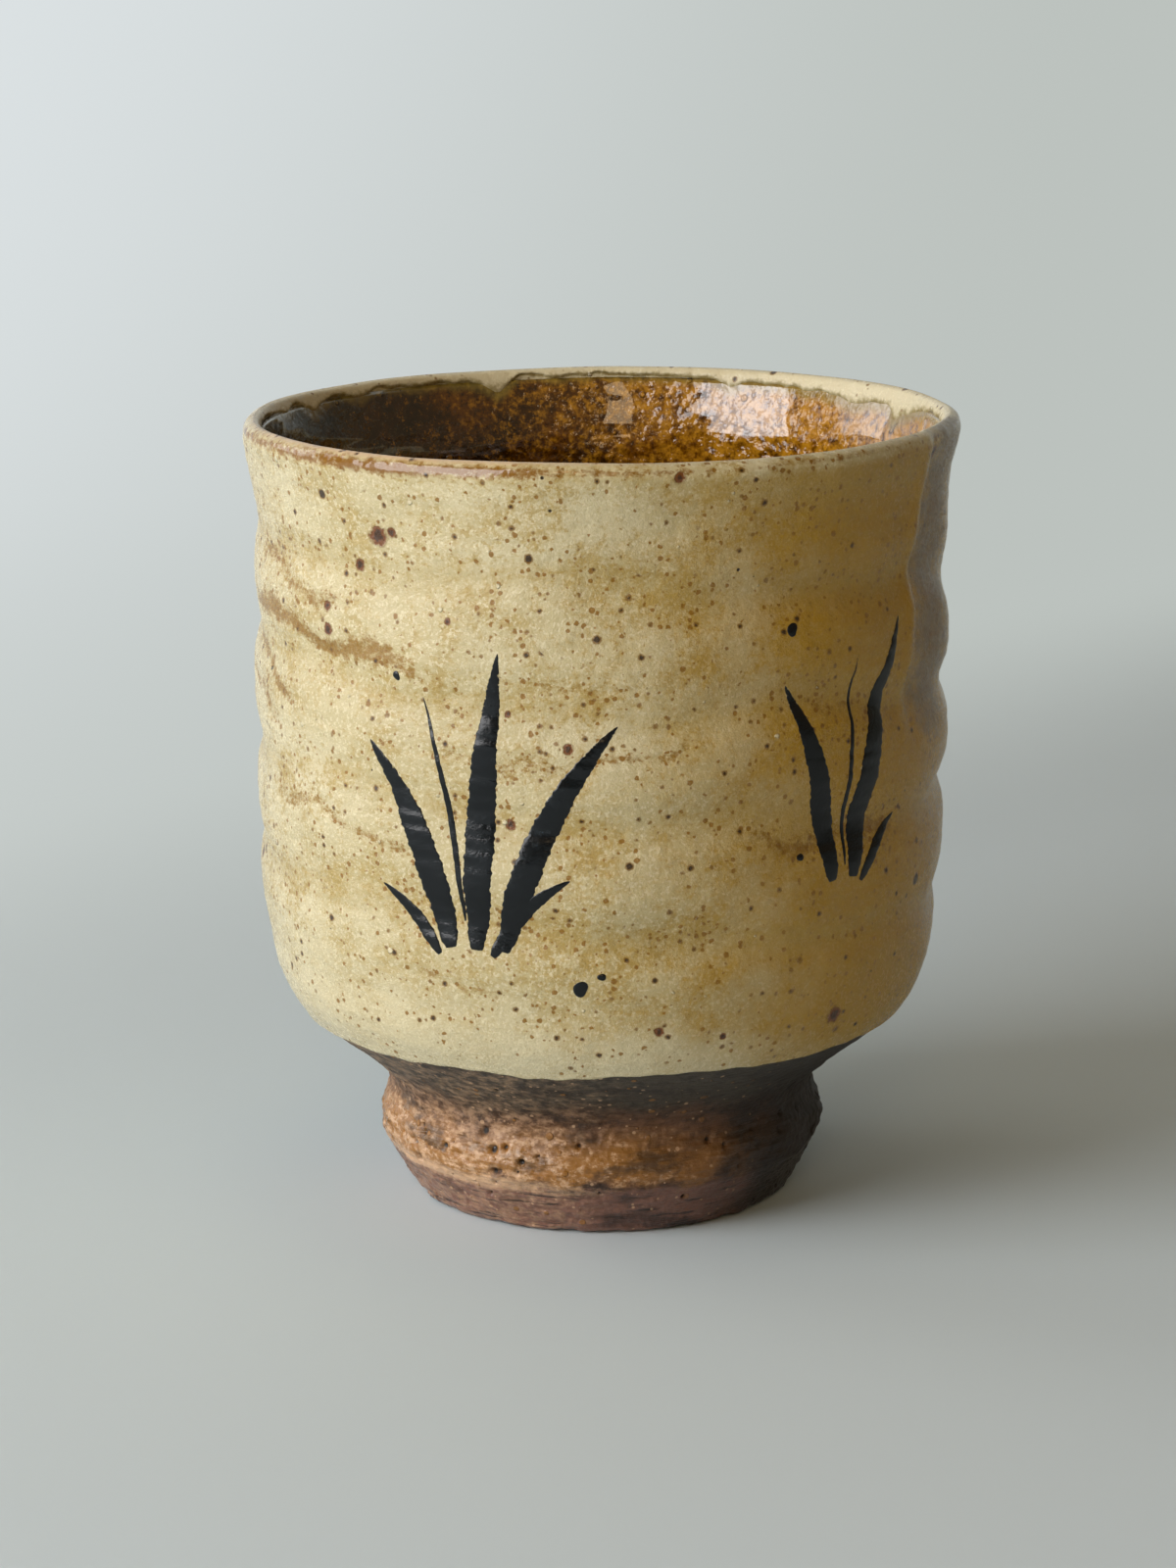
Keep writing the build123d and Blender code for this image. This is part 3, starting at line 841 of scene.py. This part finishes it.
class CUP_OT_ash_glaze(bpy.types.Operator):
    """Builds the outer coat of ash glaze, which laps over the lip"""

    bl_idname = "cup.ash_glaze"
    bl_label = "Ash glaze"
    bl_options = {"REGISTER", "UNDO"}

    def execute(self, context):
        shape, colours = context.scene.cup_shape, context.scene.cup_colours
        azimuth = columns_round(shape)[None, :]
        even = 0 * azimuth
        outside = smooth_curve(COAT_OUTLINE, FINE)
        coat = shape.coat / MM
        back = smooth_curve([COAT_TOP, *((r - coat, z) for r, z in reversed(COAT_OUTLINE[3:-3]))], HIDDEN)
        lap_radius, lap_height, lap_run = lap_skin(azimuth)
        radius = np.vstack([outside[:, :1] + even, lap_radius, back[:, :1] + even])
        height = np.vstack([outside[:, 1:] + even, lap_height, back[:, 1:] + even])
        run = run_along(outside)[:, None]
        hidden = np.zeros((len(back), azimuth.size))
        from_crest = np.vstack([run[-1] - run + even, -lap_run, hidden - FAR_INSIDE])
        lap = np.vstack([0 * run + even, lap_run / lap_run[-1:], hidden])

        # The lower edge wanders a little, sliding along the slope of the clay
        edge = ripples(azimuth, 0, (0.18, 24, 51), (0.1, 5, 52)) + EDGE_TILT * np.cos(azimuth)
        near_edge = 1 - smooth_step(EDGE_LOW, EDGE_HIGH, height)
        grown = radius + push(azimuth, height, shape) + CLAY_SLOPE * edge * near_edge
        grid = settle(turned_points(grown, azimuth, height + edge * near_edge), shape)

        # The crest breaks to rust in a band, wide at the left of the front and thin elsewhere
        wide = bump(0, math.radians(40), from_place(azimuth, RUSTED_AT))
        rust = bump(1.3 * MM + 0.3 * MM * wide, 0.4 * MM + 0.6 * MM * wide, from_crest) * (0.5 + 0.5 * wide)
        crest = bump(-0.4 * MM, 1.4 * MM, from_crest) * (0.35 + 0.65 * wide)
        offset = gutter_offset(azimuth, height)
        # Painted shade, partly a toasted glaze: darker ochre on the side away from the lamps
        toasted = (0.5 + 0.5 * np.cos(azimuth - TOASTED_AT)) ** 3
        toasted = toasted * smooth_step(0.6 * MM, 3.0 * MM, from_crest)
        spots = np.vstack([
            [(FRONT + math.radians(turn), high * MM, size * MM) for turn, high, size in GLAZE_SPOTS],
            scattered_spots(61, 9, 26 * MM, 86 * MM, 0.4 * MM, 0.9 * MM, 0.55) + (SPOTS_FROM, 0, 0),
        ])
        skin_of_coat = skin(
            grid,
            True,
            groove=groove(azimuth, height, shape) * smooth_step(26 * MM, 34 * MM, height),
            drag=dragged(azimuth, height),
            crest=crest,
            rust=rust,
            lap=lap,
            smoke=bump(7 * MM, 7.5 * MM, offset) * smooth_step(48 * MM, 62 * MM, height),
            toast=toasted,
            spot=spot_field(azimuth, height, SPOT_RADIUS, spots),
        )
        piece = new_piece("ash_glaze_coat", [skin_of_coat])
        fit(piece, "outer_glaze", ash_glaze(colours))
        return {"FINISHED"}


# The swirl that the potter's finger left on the floor of the cup
SWIRL_PITCH, SWIRL_DEPTH = 9 * MM, 0.12 * MM


class CUP_OT_amber_glaze(bpy.types.Operator):
    """Builds the amber glaze inside"""

    bl_idname = "cup.amber_glaze"
    bl_label = "Amber glaze"
    bl_options = {"REGISTER", "UNDO"}

    def execute(self, context):
        shape, colours = context.scene.cup_shape, context.scene.cup_colours
        coat = shape.liner / MM
        back = [(0.0, 15.0 - coat), *((r + coat, z - 0.3) for r, z in LINER_OUTLINE[-2:0:-1])]
        outline = np.vstack([smooth_curve(back, HIDDEN)[1:], smooth_curve(LINER_OUTLINE, LINER_FINE)[:-1]])
        radius, height = outline[:, :1], outline[:, 1:]
        azimuth = columns_round(shape, 2)[None, :]
        wall = smooth_step(22 * MM, 36 * MM, height)
        swirl = np.cos(azimuth - TURN * radius / SWIRL_PITCH)
        swirl = swirl * smooth_step(2 * MM, 6 * MM, radius) * (1 - wall)
        grown = radius + push(azimuth, height, shape) * wall
        grid = settle(turned_points(grown, azimuth, height + SWIRL_DEPTH * swirl), shape)
        # Partly glaze running thin near the mouth, partly painted light on the side that faces the lamps
        thin = smooth_step(48 * MM, 86 * MM, height) * (0.5 + 0.5 * np.cos(azimuth - THIN_AT))
        mouth = smooth_curve(MOUTH_OUTLINE, FINE / 2)
        run = np.interp(-height, -mouth[:, 1], run_along(mouth))
        below_mouth = np.maximum(mouth[-1, 1] - height, 0)
        veil = 1 - smooth_step(-0.5 * MM, 2.4 * MM, run + below_mouth - lap_reach(azimuth))
        piece = new_piece("amber_glaze_lining", [skin(grid, False, thin=thin, veil=veil)])
        fit(piece, "liner_glaze", amber_glaze(colours))
        return {"FINISHED"}


# Brushwork: azimuth of the clump in degrees from the front towards the right, then its strokes. Each has, in
# millimetres, the place of its foot beside the clump's middle, its height, its length and its width, and in
# degrees its lean and curl.
REED_CLUMPS = {
    "brush_reeds_front": (-20, [
        (-3.0, 37.0, 24.5, 3.4, -13, -26), (0.0, 37.0, 33.0, 3.6, 1, 9), (3.0, 37.0, 28.5, 3.3, 14, 30),
        (-1.4, 40.0, 27.0, 0.8, -6, -14), (1.7, 36.4, 13.0, 1.8, 30, 34), (-4.2, 36.2, 10.5, 1.6, -34, -30),
    ]),
    "brush_reeds_side": (42, [
        (-1.5, 43.0, 23.5, 2.9, -8, -20), (1.5, 43.0, 29.0, 3.3, 8, 17), (0.2, 44.5, 25.0, 0.7, 1, 5),
        (2.6, 42.4, 9.5, 1.5, 33, 30),
    ]),
    "brush_reeds_back": (168, [
        (-1.5, 38.0, 32.5, 3.5, -6, -15), (1.5, 38.0, 25.5, 3.2, 11, 22), (0.3, 40.0, 28.0, 0.8, 3, -8),
        (-3.4, 37.4, 11.0, 1.7, -32, -28),
    ]),
}
# Drops that fell from the brush: clump, then place beside its middle, height and size in millimetres
BRUSH_DROPS = {
    "brush_reeds_front": [(11.5, 33.5, 0.9), (13.8, 34.9, 0.45), (-9.5, 66.5, 0.5)],
    "brush_reeds_side": [(-7.5, 71.5, 0.7), (-6.0, 46.5, 0.45)],
    "brush_reeds_back": [(8.5, 62.0, 1.0), (-7.0, 46.0, 0.7)],
}
# How far the pigment stands on the glaze and lies in it, and the half width at which it does so fully
STROKE_LIFT, STROKE_DEPTH, STROKE_FULL = 0.10 * MM, 0.35 * MM, 0.6 * MM
# Millimetres between the rows of a stroke, its points across, and the paces of its rough edges
STROKE_ROW, STROKE_POINTS, STROKE_PACES = 0.25, 13, (0.9, 2.3, 5.1, 8.3)


def on_glaze(clump_azimuth, along, height, lift, shape):
    """Points on the outer glaze, from the distance round the wall and the height."""
    outside = smooth_curve(COAT_OUTLINE, FINE)
    azimuth = FRONT + math.radians(clump_azimuth) + along / BELLY_RADIUS
    even = np.interp(height, outside[:, 1], outside[:, 0])
    return settle(turned_points(even + push(azimuth, height, shape) + lift, azimuth, height), shape)


def brush_stroke(clump_azimuth, stroke, seed, shape):
    """Skin of one stroke: pressed on near its foot, then lifted away to a point."""
    beside, foot, reach, width, lean, curl = stroke
    count = max(24, round(reach / STROKE_ROW))
    share = np.linspace(0, 1, count)[:, None]
    heading = np.radians(lean + curl * share**1.4)
    step = reach * MM / (count - 1)
    along = beside * MM + np.cumsum(np.sin(heading), axis=0) * step
    up = foot * MM + np.cumsum(np.cos(heading), axis=0) * step
    # Full soon after the foot, then a long taper
    press = (share + 0.02) ** 0.45 * (1.005 - share) ** 0.8
    draw = np.random.default_rng(seed)
    rough = [
        1 + 0.035 * sum(np.cos(share * reach * pace + draw.uniform(0, TURN)) for pace in STROKE_PACES)
        for _ in range(2)
    ]
    half = width * MM / 2 * press / press.max()
    top = np.linspace(-1, 1, STROKE_POINTS)[None, :]
    round_section = np.hstack([top, top[:, ::-1]])
    side = np.where(round_section < 0, half * rough[0], half * rough[1])
    fullness = np.minimum(1, half / STROKE_FULL)
    crown = STROKE_LIFT * np.sqrt(np.clip(1 - top**2, 0, 1)) * fullness - 0.02 * MM
    lift = np.hstack([crown, 0 * crown - STROKE_DEPTH * fullness - 0.03 * MM])
    grid = on_glaze(
        clump_azimuth,
        along + round_section * side * np.cos(heading),
        up - round_section * side * np.sin(heading),
        lift,
        shape,
    )
    edge = np.abs(round_section) ** 3 * 0.5 + 0.5 * smooth_step(0.55, 1.0, share) + 0 * half
    return skin(grid, False, edge=edge)


def brush_drop(clump_azimuth, drop, seed, shape):
    """Skin of one drop: a flat, not quite round lens."""
    beside, height, size = drop
    draw = np.random.default_rng(seed)
    turn = np.linspace(0, TURN, 28, endpoint=False)[None, :]
    lumpy = 1 + sum(rise * np.cos(n * turn + draw.uniform(0, TURN)) for n, rise in ((2, 0.12), (3, 0.07)))
    rings = np.array([0.2, 0.6, 0.9, 1.0, 0.9, 0.7, 0.45, 0.2])[:, None]
    lift = np.array([-3.5, -3.5, -3.0, -0.4, 0.4, 0.7, 0.9, 1.0])[:, None] * STROKE_LIFT + 0 * turn
    along = (beside + size * rings * lumpy * np.cos(turn)) * MM
    up = (height + size * rings * lumpy * np.sin(turn)) * MM
    return skin(on_glaze(clump_azimuth, along, up, lift, shape), False, edge=rings**3 * 0.5)


class CUP_OT_brushwork(bpy.types.Operator):
    """Builds the clumps of brushed reeds, let into the outer glaze"""

    bl_idname = "cup.brushwork"
    bl_label = "Brushwork"
    bl_options = {"REGISTER", "UNDO"}

    def execute(self, context):
        shape = context.scene.cup_shape
        material = iron_brushwork(context.scene.cup_colours)
        for node, (azimuth, strokes) in REED_CLUMPS.items():
            skins = [brush_stroke(azimuth, stroke, 100 + i, shape) for i, stroke in enumerate(strokes)]
            skins += [brush_drop(azimuth, drop, 200 + i, shape) for i, drop in enumerate(BRUSH_DROPS[node])]
            fit(new_piece(node.replace("brush_", "brushed_"), skins), node, material)
        return {"FINISHED"}


# ---- studio

# Camera at the photograph's place: image size, focal length and middle of the cup in pixels, pitch in radians
FRAME_WIDTH, FRAME_HEIGHT = 1200, 1600
FOCAL_PIXELS, CUP_AXIS_PIXEL = 4200, 613.27
CAMERA_BACK, CAMERA_HEIGHT, CAMERA_PITCH = 461.885 * MM, 154.549 * MM, 0.2287755
SENSOR, CLIP_NEAR, CLIP_FAR = 36.0, 0.05, 20
# Soft lamps: azimuth from the front towards the right and elevation in degrees, width and height in metres
LAMPS = {"window": (-59, 23, 0.7, 0.7), "side_window": (-112, 20, 0.4, 0.6), "room": (-4, 25, 0.2, 0.26)}
LAMP_DISTANCE = 1.0
# The paper keeps the cup's shadow up to here behind the cup, in metres, and then fades to its own colour
SHADOW_END, SHADOW_FADE = 0.10, 0.18
PAPER_ROUGHNESS = 0.75


def paper_sweep(studio):
    """Matt paper that curves up high behind the cup, and a little at the sides and the front."""
    bend_start, bend, wall_top, half_width, front, curl = 0.45, 0.55, 2.2, 2.4, -1.6, 0.35
    quarter = np.linspace(0, TURN / 4, 24)
    out, up = np.sin(quarter), 1 - np.cos(quarter)
    behind = bend_start + bend * out
    deep = np.concatenate([front - curl * out[::-1], [-1.0, -0.4], behind, behind[-1:]])
    deep_rise = np.concatenate([curl * up[::-1], [0, 0], bend * up, [wall_top]])
    wide = np.concatenate([-half_width - curl * out[::-1], [-1.0, 1.0], half_width + curl * out])
    wide_rise = np.concatenate([curl * up[::-1], [0, 0], curl * up])
    points = [(x, y, z + w) for y, z in zip(deep, deep_rise) for x, w in zip(wide, wide_rise)]
    corner = np.arange(len(points)).reshape(len(deep), len(wide))
    faces = quads(corner[:-1, :-1], corner[:-1, 1:], corner[1:, 1:], corner[1:, :-1])
    mesh = bpy.data.meshes.new("paper_sweep")
    mesh.from_pydata(points, [], faces)
    mesh.shade_smooth()
    # Matt card: even and pale, with no gloss that would draw the eye
    material, shader, coords = new_material("matt_paper")
    tree = material.node_tree
    shader.inputs["Base Color"].default_value = studio.table
    shader.inputs["Roughness"].default_value = PAPER_ROUGHNESS
    # Beyond the cup's shadow the paper glows pale to the camera and in reflections, paler towards the window:
    # painted light
    across, behind = (add_node(tree, "ShaderNodeSeparateXYZ", {"Vector": coords}, axis) for axis in "XY")
    towards_window = mask(weighed(0.0, (behind, 0.5), (across, -2.4)), 0.0, 0.95)
    paper = painted(studio.backdrop, [(towards_window, studio.backdrop_lit)])
    glow = add_node(tree, "ShaderNodeEmission", {"Color": paper, "Strength": 1.0})
    rays = add_node(tree, "ShaderNodeLightPath", output="Is Camera Ray")
    others = ("Is Glossy Ray", "Is Transmission Ray")
    seen = weighed(rays, *((rays.node.outputs[kind], 1.0) for kind in others))
    share = mask(weighed(behind, (across, -1.0)), SHADOW_END, SHADOW_END + SHADOW_FADE, seen)
    mixed = add_node(tree, "ShaderNodeMixShader", {0: share, 1: shader.outputs["BSDF"], 2: glow})
    tree.links.new(mixed, tree.nodes["Material Output"].inputs["Surface"])
    mesh.materials.append(material)
    return placed("paper_sweep", mesh)


def soft_lamp(name, watts, tint):
    """A soft four-sided lamp that faces the cup from its place."""
    azimuth, elevation, width, tall = LAMPS[name]
    lamp = bpy.data.lights.new(name, "AREA")
    lamp.shape = "RECTANGLE"
    lamp.size = width
    lamp.size_y = tall
    lamp.energy = watts
    lamp.color = tint[:3]
    turn, rise = math.radians(azimuth), math.radians(elevation)
    aim = Vector((math.sin(turn) * math.cos(rise), -math.cos(turn) * math.cos(rise), math.sin(rise)))
    holder = placed(name, lamp)
    holder.location = aim * LAMP_DISTANCE + Vector((0, 0, COAT_HIGH.z / 2))
    holder.rotation_mode = "QUATERNION"
    holder.rotation_quaternion = aim.to_track_quat("Z", "Y")


class CUP_OT_studio(bpy.types.Operator):
    """Builds the floor and backdrop, the lamps and the camera"""

    bl_idname = "cup.studio"
    bl_label = "Studio"
    bl_options = {"REGISTER", "UNDO"}

    def execute(self, context):
        scene, studio = context.scene, context.scene.cup_studio
        paper_sweep(studio)
        soft_lamp("window", studio.key, studio.key_tint)
        soft_lamp("side_window", studio.side, studio.key_tint)
        soft_lamp("room", studio.room, studio.fill_tint)

        world = bpy.data.worlds.new("studio")
        world.use_nodes = True
        background = world.node_tree.nodes["Background"]
        background.inputs["Color"].default_value = studio.fill_tint
        background.inputs["Strength"].default_value = studio.fill
        scene.world = world

        camera = bpy.data.cameras.new("camera")
        camera.sensor_width = SENSOR
        camera.lens = FOCAL_PIXELS / FRAME_HEIGHT * SENSOR
        camera.shift_x = (FRAME_WIDTH / 2 - CUP_AXIS_PIXEL) / FRAME_HEIGHT
        camera.clip_start = CLIP_NEAR
        camera.clip_end = CLIP_FAR
        holder = placed("camera", camera)
        holder.location = (0, -CAMERA_BACK, CAMERA_HEIGHT)
        holder.rotation_euler = (math.pi / 2 - CAMERA_PITCH, 0, 0)
        scene.camera = holder
        scene.view_settings.view_transform = "Standard"
        return {"FINISHED"}


# ---- add-on

OPERATORS = (CUP_OT_stoneware, CUP_OT_ash_glaze, CUP_OT_amber_glaze, CUP_OT_brushwork, CUP_OT_studio)
SETTINGS = {"cup_shape": CupShape, "cup_colours": CupColours, "cup_studio": StudioSettings}


class CUP_PT_sidebar(bpy.types.Panel):
    """Lists the steps and settings of the tea cup"""

    bl_label = "Tea Cup"
    bl_idname = "CUP_PT_sidebar"
    bl_space_type = "VIEW_3D"
    bl_region_type = "UI"
    bl_category = "Tea Cup"

    def draw(self, context):
        for operator in OPERATORS:
            self.layout.operator(operator.bl_idname)
        for name, group in SETTINGS.items():
            box = self.layout.box()
            box.label(text=group.__doc__)
            for setting in group.__annotations__:
                box.prop(getattr(context.scene, name), setting)


def register():
    for group in (*SETTINGS.values(), *OPERATORS, CUP_PT_sidebar):
        bpy.utils.register_class(group)
    for name, group in SETTINGS.items():
        setattr(bpy.types.Scene, name, bpy.props.PointerProperty(type=group))


def unregister():
    for name in SETTINGS:
        delattr(bpy.types.Scene, name)
    for group in (CUP_PT_sidebar, *reversed(OPERATORS), *SETTINGS.values()):
        bpy.utils.unregister_class(group)


def main():
    """Registers the add-on, and builds every piece and the studio."""
    register()
    bpy.ops.cup.stoneware()
    bpy.ops.cup.ash_glaze()
    bpy.ops.cup.amber_glaze()
    bpy.ops.cup.brushwork()
    bpy.ops.cup.studio()


if __name__ == "__main__":
    main()
